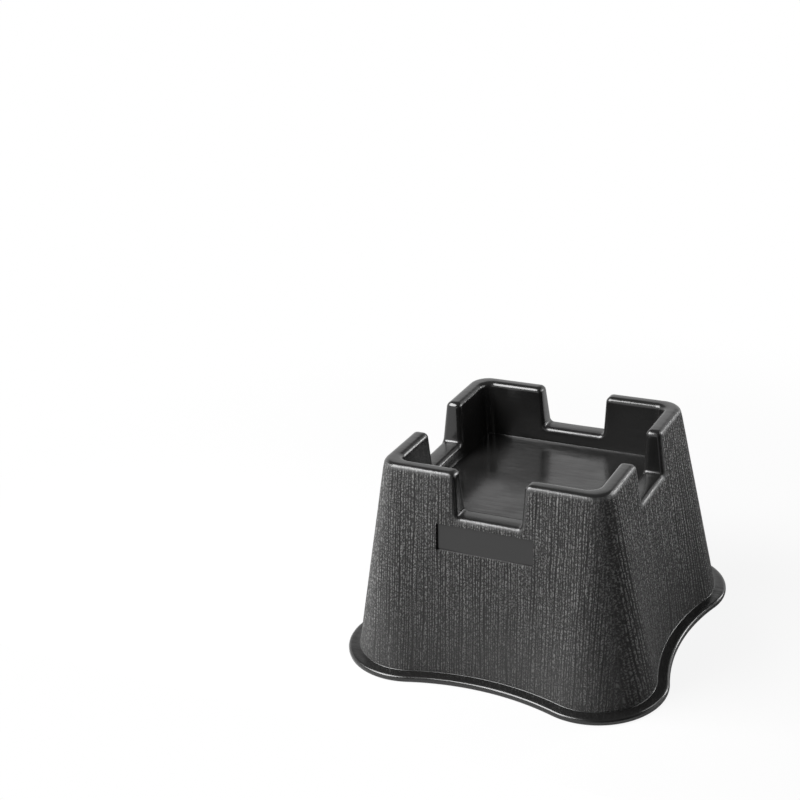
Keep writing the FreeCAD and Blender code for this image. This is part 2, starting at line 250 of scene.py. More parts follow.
def cup_size(z, setback=0.0):
    """The cup's outline at a height: it narrows as it goes down, with its corner centres in place."""
    narrower = (HEIGHT - z) * CUP_LEAN + setback
    return CUP_HALF - narrower, CUP_CORNER - narrower, np.full_like(narrower, STRAIGHT)


def notch_half(z):
    """Half the width of a notch at a height, where its sides lean by the draft."""
    return NOTCH_HALF - (HEIGHT - z) * math.tan(NOTCH_DRAFT)


for z in (LIP_TOP, HEIGHT):
    print("height %.1f: half-width %.2f, lobe %.2f, wave %.2f" % (z, *tower_size(z)))

# %% [markdown]
# ## Walls with a notch in their edge
#
# Seen square on, a wall is a rectangle with a notch cut into its top. A grid fits it well if one
# column runs up each side of the notch and one row runs along its floor. The two kinds of rounding in
# that outline, a hollow in the notch and a round corner on the post, are made by bending the grid: a
# point whose larger distance from the rounding's centre is m moves onto the circle of radius m. Away
# from the rounding the move fades out, so the columns below run straight again.
#
# The rim's edge is rounded too. So the grid stops short of the true edge by the radius of that
# rounding, and a band along the rim closes the space later.

# %% A wall's grid
HOLLOW_ROWS, POST_ROWS, CORNER_ROWS = 5, 12, 3
BEND_FADE = 1.5
TINY = 1e-12


def rounded(across, up, radius, fade):
    """Bends a square corner round: distances from its centre keep their larger one as true length."""
    reach = np.maximum(across, up)
    length = np.hypot(across, up) + TINY
    weight = np.clip(1.0 - (reach - radius) / fade if fade else reach / radius, 0.0, 1.0)
    scale = 1.0 + np.where((across > 0) & (up > 0), weight * (reach / length - 1.0), 0.0)
    return across * scale, up * scale


def wall_grid(lower, edge, end, ends_fixed):
    """Places along a side and heights of a wall's points, `edge` outside the notch's true lines.

    `lower` holds the heights below the notch, and `end` gives the end of the side at a height.
    `ends_fixed` holds places of extra knots between the post's corner and the end.
    """
    floor = NOTCH_FLOOR - edge
    hollow_z = NOTCH_FLOOR + NOTCH_HOLLOW
    post_z = HEIGHT - POST_CORNER
    rows = np.concatenate([
        lower,
        np.linspace(floor, hollow_z, HOLLOW_ROWS, endpoint=False),
        np.linspace(hollow_z, post_z, POST_ROWS, endpoint=False),
        np.linspace(post_z, HEIGHT - edge, CORNER_ROWS + 1),
    ])
    slant = 1.0 / math.cos(NOTCH_DRAFT)
    half = notch_half(np.maximum(rows, floor))
    knots = {0: 0.0, AT_HOLLOW: half - NOTCH_HOLLOW * slant, AT_NOTCH: half + edge * slant,
             AT_POST: half + POST_CORNER * slant, **ends_fixed, SIDE_COLUMNS: end(rows)}
    along = spread(FINE, knots)
    z = np.repeat(rows[:, None], along.shape[1], axis=1)
    centre = (half - NOTCH_HOLLOW * slant)[:, None]
    across, down = rounded((np.abs(along) - centre) / slant, hollow_z - z, NOTCH_HOLLOW + edge, BEND_FADE)
    outer = (half + POST_CORNER * slant)[:, None]
    inward, up = rounded((outer - np.abs(along)) / slant, z - post_z, POST_CORNER - edge, 0.0)
    by_post = (inward > 0) & (up > 0)
    x = np.where(by_post, outer - inward * slant, centre + across * slant)
    z = np.where(by_post, post_z + up, hollow_z - down)
    row_z = np.repeat(rows[:, None], along.shape[1], axis=1)
    x = np.where(FINE.lobe, 0.0, np.sign(FINE.step) * x)
    return x, np.where(FINE.lobe, row_z, z)


def rim_path(columns, first_row, rows, at_notch):
    """Rows and columns of the grid points along the winding rim, once round the riser."""
    top = first_row + rows
    climb = np.arange(first_row, top)
    path = []
    for quarter in range(4):
        middle = (quarter * QUARTER_COLUMNS + SIDE_COLUMNS) // columns.every
        left, right_side = middle - at_notch, middle + at_notch
        start = quarter * QUARTER_COLUMNS // columns.every
        stop = (quarter + 1) * QUARTER_COLUMNS // columns.every
        for along, row in (
            (np.arange(start, left), np.full(left - start, top)),
            (np.full(rows, left), climb[::-1] + 1),
            (np.arange(left, right_side), np.full(right_side - left, first_row)),
            (np.full(rows, right_side), climb),
            (np.arange(right_side, stop), np.full(stop - right_side, top)),
        ):
            path.append(np.stack([row, along]))
    return np.concatenate(path, axis=1)


# %% [markdown]
# ## Collecting the surface
#
# The riser's surface is a set of grids that share their borders. Each grid adds its points, its faces
# and two values that the finish will need: how much grain a point carries, and where that point lies
# in the grain of its own wall. The borders are worked out by the same formulas on both sides, so they
# fall on each other and can be merged at the end.
#
# Rows follow the cut through the riser's wall in one direction: from the underside of the cup's floor,
# out and down inside the wall, round the foot, up the outside, over the rim and down into the cup.
# With the columns running anticlockwise seen from above, all faces then look outwards by themselves.

# %% Grids into one surface
points, faces, grains, sheets = [], [], [], []


def add_points(place, grain=0.0, sheet=None):
    """Adds points and returns their numbers, in the shape of the grid that they form."""
    first = sum(len(block) for block in points)
    flat = np.reshape(place, (-1, 3))
    points.append(flat)
    grains.append(np.broadcast_to(grain, np.shape(place)[:-1]).reshape(-1))
    sheets.append(flat if sheet is None else np.reshape(sheet, (-1, 3)))
    return first + np.arange(len(flat)).reshape(np.shape(place)[:-1])


def add_grid(place, keep=None, grain=0.0, sheet=None):
    """Adds a grid that closes on itself, with a face in every cell that `keep` allows."""
    number = add_points(place, grain, sheet)
    number = np.concatenate([number, number[:, :1]], axis=1)
    quads = np.stack([number[:-1, :-1], number[:-1, 1:], number[1:, 1:], number[1:, :-1]], axis=-1)
    faces.extend(quads[keep].tolist() if keep is not None else quads.reshape(-1, 4).tolist())


def at_height(place, z):
    """Plan positions with a height."""
    return np.concatenate([place, np.broadcast_to(z, place.shape[:-1])[..., None]], axis=-1)


def outside_notch(columns, count, first_row, at_notch):
    """Which cells of a wall's grid are plastic: all of the lower rows, and the posts above."""
    step = np.where(columns.lobe, SIDE_COLUMNS, columns.step)
    in_notch = (step >= -at_notch * columns.every) & (step < at_notch * columns.every)
    keep = np.ones((count - 1, len(step)), bool)
    keep[first_row:, in_notch] = False
    return keep


def bent(start, corner, end, steps):
    """Points of a rounding from start to end: a conic whose two tangents meet at the corner.

    With the weight w = cos 45 degrees it is a circle where those tangents stand square:
    ((1-t)^2 start + 2 w t (1-t) corner + t^2 end) / ((1-t)^2 + 2 w t (1-t) + t^2).
    """
    t = np.linspace(0.0, 1.0, steps + 1).reshape((-1,) + (1,) * np.ndim(start))
    first, second, third = (1 - t)**2, 2 * math.cos(math.pi / 4) * t * (1 - t), t**2
    return (first * start + second * corner + third * end) / (first + second + third)


def profile_rings(columns, profile, knots):
    """Rings of the outline for a profile whose rows hold half-width, lobe radius, wave and height."""
    size = tuple(profile[:, i] for i in range(3))
    along = spread(columns, {**knots, SIDE_COLUMNS: side_end(size)})
    place, _ = outline(columns, along, tuple(part[:, None] for part in size))
    return at_height(place, profile[:, 3:])


# %% [markdown]
# ## The outside wall and its coarse grain
#
# The grain of the real riser is a relief in the mould, a tenth of a millimetre deep. Its broad part is
# made here as true shape: a smooth random field on a lattice, about two millimetres wide and ten high,
# pushed outwards. It fades at the rim and stops in a tiny step at the foot and round the bare plate.
# The fine part, too small for points, comes later as bump.
#
# The grain could be wrapped round the tower like a label, but then its lines would fan out with the
# lobes. On the real riser they stay upright on each of the four walls. So every point is measured
# straight across the wall that it faces, and that measure changes over in the middle of a lobe.

# %% The outside wall
# Width and length of the broad grain's cells, its least height and what a cell adds, and the width of
# the step at its borders.
GRAIN_PITCH, GRAIN_LENGTH = 2.0, 10.0
GRAIN_BASE, GRAIN_HEIGHT = 0.12, 0.08
GRAIN_STEP = 0.2
GRAIN_SEED, GRAIN_CELLS = 11, 200
GRAIN_AROUND = (8.0, 5.0)
# The grain of the right and left walls is broader than that of the front and back ones.
BROAD_GRAIN = 0.62
LOWER_ROWS, PLATE_ROWS = 30, 8


def lattice_noise(across, up, wrap, seed):
    """Random heights from 0 to 1 at whole numbers, blended smoothly between; `across` wraps round."""
    table = np.random.default_rng(seed).random((wrap, int(up.max()) + 2))
    i, j = np.floor(across).astype(int), np.floor(up).astype(int)
    s, t = across - i, up - j
    s, t = s * s * (3 - 2 * s), t * t * (3 - 2 * t)
    near, far = i % wrap, (i + 1) % wrap
    low = table[near, j] * (1 - s) + table[far, j] * s
    high = table[near, j + 1] * (1 - s) + table[far, j + 1] * s
    return low * (1 - t) + high * t


wall_foot = LIP_TOP + COVE
lower_rows = np.concatenate([
    [wall_foot],
    np.linspace(wall_foot + GRAIN_STEP, PLATE_BOTTOM - GRAIN_STEP / 2, LOWER_ROWS),
    np.linspace(PLATE_BOTTOM + GRAIN_STEP / 2, PLATE_TOP - GRAIN_STEP / 2, PLATE_ROWS),
    [PLATE_TOP + GRAIN_STEP / 2, (PLATE_TOP + NOTCH_FLOOR - RIM_EDGE) / 2],
])
plate_knots = {AT_PLATE: PLATE_HALF - GRAIN_STEP / 2, AT_PLATE + 1: PLATE_HALF + GRAIN_STEP / 2}
wall_end = lambda z: side_end(tower_size(z))
wall_x, wall_z = wall_grid(lower_rows, RIM_EDGE, wall_end, plate_knots)

# On the front, the columns near the plate slide to the left with it, and fade back above and below.
front = (FINE.turn == 0) & ~FINE.lobe
slide_up = np.interp(wall_z, [PLATE_BOTTOM - PLATE_FADE, PLATE_BOTTOM - GRAIN_STEP / 2,
                              PLATE_TOP + GRAIN_STEP / 2, NOTCH_FLOOR - RIM_EDGE], [0, 1, 1, 0])
slide_across = np.interp(np.abs(FINE.step), [AT_PLATE + 1, SIDE_COLUMNS], [1, 0])
slide = -PLATE_SHIFT * slide_up * slide_across * front
wall_x = wall_x + slide
wall_place, wall_out = outline(FINE, wall_x, tower_size(wall_z))


def on_sheet(place, facing=FINE.facing):
    """Where a point lies in the grain: across the wall it is on, round the tower, and up.

    Across is x on the front wall and -x on the back one. On the right and left walls, whose grain is
    broader, it is a share of -y and of y. Round is 8 times the cosine of the bearing plus 5 times its
    sine. It only sees to it that no two walls carry the same grain.
    """
    x, y, z = np.moveaxis(place, -1, 0)
    across = np.choose(facing, [x, -BROAD_GRAIN * y, -x, BROAD_GRAIN * y])
    around = (GRAIN_AROUND[0] * x + GRAIN_AROUND[1] * y) / np.hypot(x, y)
    return np.stack([across, around, z], axis=-1)


wall_sheet = on_sheet(at_height(wall_place, wall_z))
in_plate = front & (np.abs(FINE.step) <= AT_PLATE) & (wall_z > PLATE_BOTTOM) & (wall_z < PLATE_TOP)
beside_notch = np.maximum(np.abs(wall_x) - notch_half(np.maximum(wall_z, NOTCH_FLOOR)) - RIM_EDGE, 0.0)
above_notch = np.maximum(NOTCH_FLOOR - RIM_EDGE - wall_z, 0.0)
from_notch = np.where(FINE.lobe, HEIGHT, np.hypot(beside_notch, above_notch))
from_rim = np.minimum(from_notch, HEIGHT - RIM_EDGE - wall_z)
relief = np.clip(from_rim / RIM_EDGE, 0.0, 1.0) * (wall_z > wall_foot + GRAIN_STEP / 2) * ~in_plate
noise = lattice_noise(wall_sheet[..., 0] / GRAIN_PITCH, wall_z / GRAIN_LENGTH, GRAIN_CELLS, GRAIN_SEED)
wall_place = wall_place + wall_out * (relief * (GRAIN_BASE + noise * GRAIN_HEIGHT))[..., None]

# The bare plate is flat, and leans with the middle of the front wall.
half, _, wave = tower_size(wall_z)
plate_y = -(half - wave - PLATE_DEPTH)
wall_place[..., 1] = np.where(in_plate, plate_y, wall_place[..., 1])

first_post_row = len(lower_rows)
post_row_count = HOLLOW_ROWS + POST_ROWS + CORNER_ROWS
fine_path = rim_path(FINE, first_post_row, post_row_count, AT_NOTCH)
add_grid(at_height(wall_place, wall_z), outside_notch(FINE, len(wall_z), first_post_row, AT_NOTCH),
         grain=np.where(in_plate | (wall_z <= wall_foot + GRAIN_STEP / 2), 0.0, 1.0),
         sheet=wall_sheet)
print("outside wall: %d rows" % len(wall_z))

# %% [markdown]
# ## The cup
#
# The cup repeats the wall's grid on the inside: the same columns and the same heights, on an outline
# that is almost square. At the bottom a small hollow rounding leads into a flat floor. A flat floor
# needs few points, so one ring of many-sided faces steps down from fine columns to coarse ones, and
# three more rings and a fan close it in the middle.

# %% The cup and its floor
FLOOR_INSET = 2.4
FLOOR_RINGS = (0.75, 0.5, 0.25)
CUP_LOWER_ROWS, FLOOR_COVE_STEPS = 3, 3


def step_down(fine_ring, coarse_ring, inwards):
    """Faces between a fine ring and a coarse one: one coarse edge against four fine ones."""
    fine, coarse = add_points(fine_ring), add_points(coarse_ring)
    group = np.arange(len(fine)).reshape(-1, COARSE_STEP)
    group = np.concatenate([group, (group[:, -1:] + 1) % len(fine)], axis=1)
    after = np.roll(coarse, -1)
    if inwards:
        rows = np.concatenate([fine[group], after[:, None], coarse[:, None]], axis=1)
    else:
        rows = np.concatenate([coarse[:, None], after[:, None], fine[group[:, ::-1]]], axis=1)
    faces.extend(rows.tolist())


def fan(ring, middle):
    """Closes a ring with triangles to its middle."""
    rim = add_points(ring)
    centre = add_points(middle[None])[0]
    faces.extend(np.stack([rim, np.roll(rim, -1), np.full_like(rim, centre)], axis=1).tolist())


cup_lower = np.linspace(CUP_FLOOR + FLOOR_COVE, NOTCH_FLOOR - RIM_EDGE, CUP_LOWER_ROWS, endpoint=False)
cup_end = lambda z: side_end(cup_size(z))
cup_x, cup_z = wall_grid(cup_lower, RIM_EDGE, cup_end, {})
cup_place, cup_out = outline(FINE, cup_x, cup_size(cup_z))
cup_path = rim_path(FINE, len(cup_lower), post_row_count, AT_NOTCH)
cup_keep = outside_notch(FINE, len(cup_z), len(cup_lower), AT_NOTCH)
add_grid(at_height(cup_place, cup_z)[::-1], cup_keep[::-1])


def sized(size, z):
    """One row of a profile: half-width, lobe radius, wave and height."""
    return np.array([*(float(part) for part in size), z])


FLAT_Z = np.array(CUP_FLOOR)
cove = bent(sized(cup_size(CUP_FLOOR + FLOOR_COVE), CUP_FLOOR + FLOOR_COVE),
            sized(cup_size(FLAT_Z), CUP_FLOOR),
            sized(cup_size(FLAT_Z, FLOOR_COVE), CUP_FLOOR), FLOOR_COVE_STEPS)
low_half = notch_half(NOTCH_FLOOR - RIM_EDGE)
slant = 1.0 / math.cos(NOTCH_DRAFT)
low_knots = {0: 0.0, AT_HOLLOW: low_half - NOTCH_HOLLOW * slant, AT_NOTCH: low_half + RIM_EDGE * slant,
             AT_POST: low_half + POST_CORNER * slant}
add_grid(profile_rings(FINE, cove, low_knots))
floor_edge = profile_rings(FINE, cove[-1:], low_knots)[0]
floor_ring = profile_rings(COARSE, sized(cup_size(FLAT_Z, FLOOR_INSET), CUP_FLOOR)[None], low_knots)[0]
step_down(floor_edge, floor_ring, inwards=True)
floor_middle = np.array([0.0, 0.0, CUP_FLOOR])
shrunk = [floor_middle + (floor_ring - floor_middle) * share for share in (1.0,) + FLOOR_RINGS]
add_grid(np.array(shrunk))
fan(shrunk[-1], floor_middle)
print("cup: %d rows of wall, %d rings of floor" % (len(cup_z), len(shrunk)))

# %% [markdown]
# ## The rim
#
# The rim winds up and down over posts and notches, but along all of it the cut is the same: a round
# edge, a flat, and a second round edge. So it is one band. It starts at the border of the outside
# wall, bends over the true edge, crosses to the cup and bends down again. The true edges come from the
# same wall grid, drawn this time without standing off from the notch's lines.

# %% The rim band
EDGE_STEPS = 5
FLAT_STEPS = 2
# The most grain that the outer rounding carries, and the two ends of its fall before it is cut off.
EDGE_GRAIN, GRAIN_FALL = 0.5, (0.7, -0.5)


def true_edge(path, lower, size, end, fixed):
    """The sharp edge under the rounding, along the rim, and the direction that leads out of it."""
    x, z = wall_grid(lower, 0.0, end, fixed)
    place, out = outline(FINE, x, size(z))
    side = np.stack([np.sin(FINE.turn), -np.cos(FINE.turn)], axis=-1)
    out = np.where(FINE.lobe[:, None], out, side)
    row, column = path
    return at_height(place, z)[row, column], at_height(out, 0.0)[row, column]


outer_start = at_height(wall_place, wall_z)[tuple(fine_path)]
outer_edge, outer_way = true_edge(fine_path, lower_rows, tower_size, wall_end, plate_knots)
inner_end = at_height(cup_place, cup_z)[tuple(cup_path)]
inner_edge, inner_way = true_edge(cup_path, cup_lower, cup_size, cup_end, {})
outer_flat = outer_edge - RIM_EDGE * outer_way
inner_flat = inner_edge + RIM_EDGE * inner_way
crossing = np.linspace(0.0, 1.0, FLAT_STEPS + 1)[1:-1, None, None]
band = np.concatenate([
    bent(outer_start, outer_edge, outer_flat, EDGE_STEPS),
    outer_flat + (inner_flat - outer_flat) * crossing,
    bent(inner_flat, inner_edge, inner_end, EDGE_STEPS),
])
# The grain is weaker on the outer rounding and has died out halfway over it.
band_grain = np.zeros(len(band))
band_grain[:EDGE_STEPS + 1] = np.clip(np.linspace(*GRAIN_FALL, EDGE_STEPS + 1), 0.0, EDGE_GRAIN)
add_grid(band, grain=band_grain[:, None], sheet=on_sheet(band, FINE.facing[fine_path[1]]))
print("rim band: %d points round" % band.shape[1])

# %% [markdown]
# ## The foot
#
# Below the wall the outline only moves outwards and back: a small hollow rounding, the flat top of the
# lip, its round upper edge, the side, and the sole. Each is a few rows of a profile, and every row is
# the outline drawn at another width.

# %% The foot
SOLE_ROWS = (0.75, 0.4)
LIP_MIDDLE = 0.5
SOLE_STEPS, LIP_STEPS, COVE_STEPS = 3, 6, 4


def foot_row(inset, z):
    """A row of the foot's profile: the outline, this far inside the lip's outer edge."""
    return np.array([FOOT_HALF - inset, FOOT_CORNER - inset, WAVE, z])


wall_row = sized(tower_size(wall_foot), wall_foot)
foot_profile = np.concatenate([
    [foot_row(LIP * share, 0.0) for share in SOLE_ROWS],
    bent(foot_row(SOLE_EDGE, 0.0), foot_row(0.0, 0.0), foot_row(0.0, SOLE_EDGE), SOLE_STEPS),
    bent(foot_row(0.0, LIP_TOP - LIP_EDGE), foot_row(0.0, LIP_TOP), foot_row(LIP_EDGE, LIP_TOP),
         LIP_STEPS),
    [foot_row(LIP * LIP_MIDDLE, LIP_TOP)],
    bent(foot_row(LIP - COVE, LIP_TOP), foot_row(LIP, LIP_TOP), wall_row, COVE_STEPS),
])
foot_rings = profile_rings(FINE, foot_profile, {**low_knots, **plate_knots})
# The wall's grain reaches down into the hollow rounding and ends there.
foot_grain = np.zeros(len(foot_rings))
foot_grain[-2:] = 1.0
add_grid(foot_rings, grain=foot_grain[:, None], sheet=on_sheet(foot_rings))
print("foot: %d rings" % len(foot_rings))

# %% [markdown]
# ## The inside
#
# Seen from below the riser is a thin shell. Its inner wall follows the outside at one wall's thickness,
# the cup hangs in it as a box, and four ribs cross under the cup's floor. Nothing is rounded here, as
# in the core of a mould, so coarse columns are enough.

# %% The hollow inside
CORE_NOTCH = AT_NOTCH // COARSE_STEP
SADDLE_Z = NOTCH_FLOOR - WALL
CEILING_Z = HEIGHT - RIM_SKIN
UNDERSIDE_Z = CUP_FLOOR - FLOOR_SKIN
RIB_COLUMNS = {16: RIB_MIDDLE - RIB_HALF, 20: RIB_MIDDLE + RIB_HALF}
POST_LINES, SHELL_LINES = 4, 8


def core_grid(rows, size, setback):
    """Points of an inner wall at the given heights, with columns up the sides of the saddles."""
    half = notch_half(np.maximum(rows, SADDLE_Z)) + WALL * slant
    size_there = size(rows, setback)
    knots = {0: 0.0, **RIB_COLUMNS, AT_NOTCH: half, SIDE_COLUMNS: side_end(size_there)}
    place, _ = outline(COARSE, spread(COARSE, knots), tuple(part[:, None] for part in size_there))
    return at_height(place, rows[:, None])


post_rows = np.linspace(SADDLE_Z, CEILING_Z, POST_LINES)
box_rows = np.concatenate([[UNDERSIDE_Z], post_rows])
shell_rows = np.concatenate([
    [0.0, LIP_TOP], np.linspace(LIP_TOP, SADDLE_Z, SHELL_LINES)[1:-1], post_rows])
box_wall = core_grid(box_rows, cup_size, -WALL)
shell_wall = core_grid(shell_rows, tower_size, WALL)
box_first, shell_first = 1, len(shell_rows) - len(post_rows)
add_grid(box_wall, outside_notch(COARSE, len(box_rows), box_first, CORE_NOTCH))
add_grid(shell_wall[::-1], outside_notch(COARSE, len(shell_rows), shell_first, CORE_NOTCH)[::-1])
box_path = rim_path(COARSE, box_first, len(post_rows) - 1, CORE_NOTCH)
shell_path = rim_path(COARSE, shell_first, len(post_rows) - 1, CORE_NOTCH)
add_grid(np.stack([box_wall[tuple(box_path)], shell_wall[tuple(shell_path)]]))
step_down(foot_rings[0], shell_wall[0], inwards=False)
print("inside: %d rows of shell, %d rows of box" % (len(shell_rows), len(box_rows)))

# %% [markdown]
# The underside of the cup's floor is a plate with a grid of ribs. Its lines are the columns of the box
# above, so the edges fall together. Every cell lies at one of two levels, the floor or a rib's lower
# face, and wherever two neighbours differ an upright face joins them.

# %% The ribs under the floor
def add_quads(corners):
    """Adds loose four-sided faces, given as corners [face, 4, 3]."""
    faces.extend(add_points(corners).tolist())


bottom = box_wall[0]
side = bottom[:2 * SIDE_COLUMNS // COARSE_STEP + 1]
lines = np.concatenate([[side[0, 1]], side[:, 0], [-side[0, 1]]])
between = (lines[1:] + lines[:-1]) / 2
ribbed = np.abs(np.abs(between) - RIB_MIDDLE) < RIB_HALF
inner = np.abs(between) < lines[-2]
is_rib = ribbed[:, None] | ribbed[None, :]
real = inner[:, None] | inner[None, :]
cell_z = np.where(is_rib, UNDERSIDE_Z - RIB_DEPTH, UNDERSIDE_Z)
i, j = np.nonzero(real)


def corner(line_x, line_y, z):
    """Points where two lines of the rib grid cross, at a height."""
    return np.stack(np.broadcast_arrays(lines[line_x], lines[line_y], z), axis=-1)


z = cell_z[i, j]
add_quads(np.stack([corner(i, j, z), corner(i, j + 1, z),
                    corner(i + 1, j + 1, z), corner(i + 1, j, z)], axis=1))
padded = np.pad(is_rib & real, 1)
for axis in (0, 1):
    change = np.diff(padded.astype(int), axis=axis)
    change = change[:, 1:-1] if axis == 0 else change[1:-1]
    line, cell = np.nonzero(change if axis == 0 else change.T)
    starts_rib = (change if axis == 0 else change.T)[line, cell] > 0
    first = np.where(starts_rib == (axis == 0), cell + 1, cell)
    last = 2 * cell + 1 - first
    ends = [(line, first), (line, last)] if axis == 0 else [(first, line), (last, line)]
    low_z, high_z = UNDERSIDE_Z - RIB_DEPTH, UNDERSIDE_Z
    add_quads(np.stack([corner(*ends[0], low_z), corner(*ends[1], low_z),
                        corner(*ends[1], high_z), corner(*ends[0], high_z)], axis=1))
for quarter in range(4):
    start = (quarter * QUARTER_COLUMNS + 2 * SIDE_COLUMNS) // COARSE_STEP
    arc = np.take(bottom, np.arange(start, start + LOBE_COLUMNS // COARSE_STEP + 1), axis=0, mode="wrap")
    arc_centre = np.array([*(np.sign(arc[len(arc) // 2][:2]) * lines[-2]), UNDERSIDE_Z])
    apex = np.broadcast_to(arc_centre, arc[1:].shape)
    faces.extend(add_points(np.stack([apex, arc[1:], arc[:-1]], axis=1)).tolist())
print("surface: %d faces before the borders are merged" % len(faces))

# %% [markdown]
# ## One mesh
#
# The grids become one mesh, with their borders merged. A closed surface has exactly two faces at every
# edge, and its volume comes out positive when the faces look outwards, so both are printed. Edges that
# turn by more than a third of a right angle stay sharp, and all else is shaded smooth.

# %% One mesh
MERGE = 2e-6
SHARP_ANGLE = math.radians(32)

mesh = bpy.data.meshes.new("riser_shell")
mesh.from_pydata(np.concatenate(points) * MM, [], faces)
grain_layer = mesh.attributes.new("grain", "FLOAT", "POINT")
grain_layer.data.foreach_set("value", np.concatenate(grains).astype(np.float32))
sheet_layer = mesh.attributes.new("grain_place", "FLOAT_VECTOR", "POINT")
sheet_layer.data.foreach_set("vector", (np.concatenate(sheets) * MM).astype(np.float32).ravel())

work = bmesh.new()
work.from_mesh(mesh)
bmesh.ops.remove_doubles(work, verts=work.verts, dist=MERGE)
open_edges = sum(1 for edge in work.edges if len(edge.link_faces) != 2)
volume = work.calc_volume(signed=True) / MM**3
work.to_mesh(mesh)
work.free()
mesh.polygons.foreach_set("use_smooth", np.ones(len(mesh.polygons), bool))
mesh.set_sharp_from_angle(angle=SHARP_ANGLE)
mesh.update()
mesh.calc_loop_triangles()
print("riser: %d triangles, %d open edges, %.1f cm3" % (len(mesh.loop_triangles), open_edges, volume / 1000))

riser = bpy.data.objects.new("riser_shell", mesh)
bpy.context.scene.collection.objects.link(riser)
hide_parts("riser")
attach(riser, "root")

# %% [markdown]
# ## How a material is written here
#
# A material is a small network of nodes. Writing one out node by node is long, so a few helpers keep
# it short. The first makes a node from its kind, its settings and its inputs, where an input is either
# a number or the output of another node. The others do the same for sums, mixtures and ramps, and one
# makes an empty node group with its sockets.

# %% Nodes in short
def add_node(tree, kind, inputs=None, **settings):
    """A node with its settings, and with a value or a link at each named input."""
    node = tree.nodes.new(kind)
    for name, value in settings.items():
        setattr(node, name, value)
    for name, value in (inputs or {}).items():
        if isinstance(value, bpy.types.NodeSocket):
            tree.links.new(value, node.inputs[name])
        else:
            node.inputs[name].default_value = value
    return node


def math_node(tree, operation, first, second=0.0):
    """The output of one sum of two values."""
    return add_node(tree, "ShaderNodeMath", {0: first, 1: second}, operation=operation).outputs[0]


def mix_node(tree, factor, none, whole):
    """A value between two, by a factor from 0 to 1."""
    return add_node(tree, "ShaderNodeMix", {"Factor": factor, "A": none, "B": whole}).outputs["Result"]


def mix_colour(tree, factor, none, whole):
    """A colour between two, by a factor from 0 to 1."""
    return add_node(tree, "ShaderNodeMix", {"Factor": factor, 6: none, 7: whole}, data_type="RGBA").outputs[2]


def ramp(tree, value, low, high, bottom=0.0, top=1.0):
    """A value carried smoothly from the range low to high over to the range bottom to top."""
    return add_node(tree, "ShaderNodeMapRange", {
        "Value": value, "From Min": low, "From Max": high, "To Min": bottom, "To Max": top,
    }, interpolation_type="SMOOTHSTEP").outputs["Result"]


def new_group(name, sockets):
    """A node group with its sockets: (name, kind, default) for inputs and (name, kind) for outputs."""
    group = bpy.data.node_groups.new(name, "ShaderNodeTree")
    for name, kind, *default in sockets:
        socket = group.interface.new_socket(
            name, in_out="INPUT" if default else "OUTPUT", socket_type="NodeSocket" + kind)
        if default and default[0] is not None:
            socket.default_value = default[0]
    return group, group.nodes.new("NodeGroupInput").outputs, group.nodes.new("NodeGroupOutput").inputs


# %% [markdown]
# ## The fine grain
#
# Close to, the grain is made of upright ridges about a millimetre and a half apart. They are neither
# quite straight nor quite evenly spaced, and they are broken into short bright specks. A plain noise
# that is drawn out along the wall would give hairs of every width. So the ridges are the crests of a
# cosine across the wall, whose phase two slow noises push to and fro. Where it is low, a faint third
# noise keeps the valleys from being empty. The ridges are then multiplied by two finer noises, one for
# the specks and one for weaker and stronger stretches. In the middle of a lobe, where the grain of one
# wall meets that of the next, the ridges give way to an even level, and only the specks stay.
#
# The result is used three times: as height for the bump, as a painted highlight that lightens the crests
# and bright specks in the colour, and as roughness.

# %% The grain as a node group
PITCH, LENGTH = 0.0014, 0.012
NOISE_ROUGHNESS = 0.6
# Each noise: width of its spots in pitches, their length in lengths, detail, the part of its range
# that counts, and the two values to which that part is carried.
UNEVEN = (2.5, 40.0, 1.0, 0.2, 0.8, -3.0, 3.0)
DRIFT = (2.5, 3.0, 0.0, 0.2, 0.8, -1.6, 1.6)
SHALLOW = (1.6, 2.0, 1.0, 0.48, 0.68, 0.0, 0.3)
SPECKS = (0.42, 0.075, 1.0, 0.45, 0.63, 0.12, 1.0)
FIBRES = (0.7, 1.4, 1.0, 0.34, 0.62, 0.60, 1.0)
# The part of the cosine that makes the slope of a ridge, and the level in the middle of a lobe.
RIDGE_SLOPE = (-0.95, 0.3)
SEAM_LEVEL = 0.55

# The group's second output carries the same value as the height and becomes the painted highlight on the
# crests.
grain_group, given, result = new_group("upright_grain", [
    ("Place", "Vector", None), ("Seam", "Float", 0.0), ("Pitch", "Float", PITCH), ("Length", "Float", LENGTH),
    ("Height", "Float"), ("Tone", "Float")])


def stretched_noise(tree, place, width, length, detail):
    """Noise from 0 to 1 whose spots are this wide and this long."""
    across, along = (math_node(tree, "DIVIDE", 1.0, size) for size in (width, length))
    scale = add_node(tree, "ShaderNodeCombineXYZ", {"X": across, "Y": across, "Z": along}).outputs[0]
    squeezed = add_node(tree, "ShaderNodeVectorMath", {0: place, 1: scale}, operation="MULTIPLY").outputs[0]
    return add_node(tree, "ShaderNodeTexNoise", {
        "Vector": squeezed, "Scale": 1.0, "Detail": detail, "Roughness": NOISE_ROUGHNESS}).outputs["Fac"]


def spots(widths, lengths, detail, low, high, bottom, top):
    """Noise in the grain's own measures, in multiples of pitch and length, and pulled apart."""
    width = math_node(grain_group, "MULTIPLY", given["Pitch"], widths)
    length = math_node(grain_group, "MULTIPLY", given["Length"], lengths)
    noise = stretched_noise(grain_group, given["Place"], width, length, detail)
    return ramp(grain_group, noise, low, high, bottom, top)


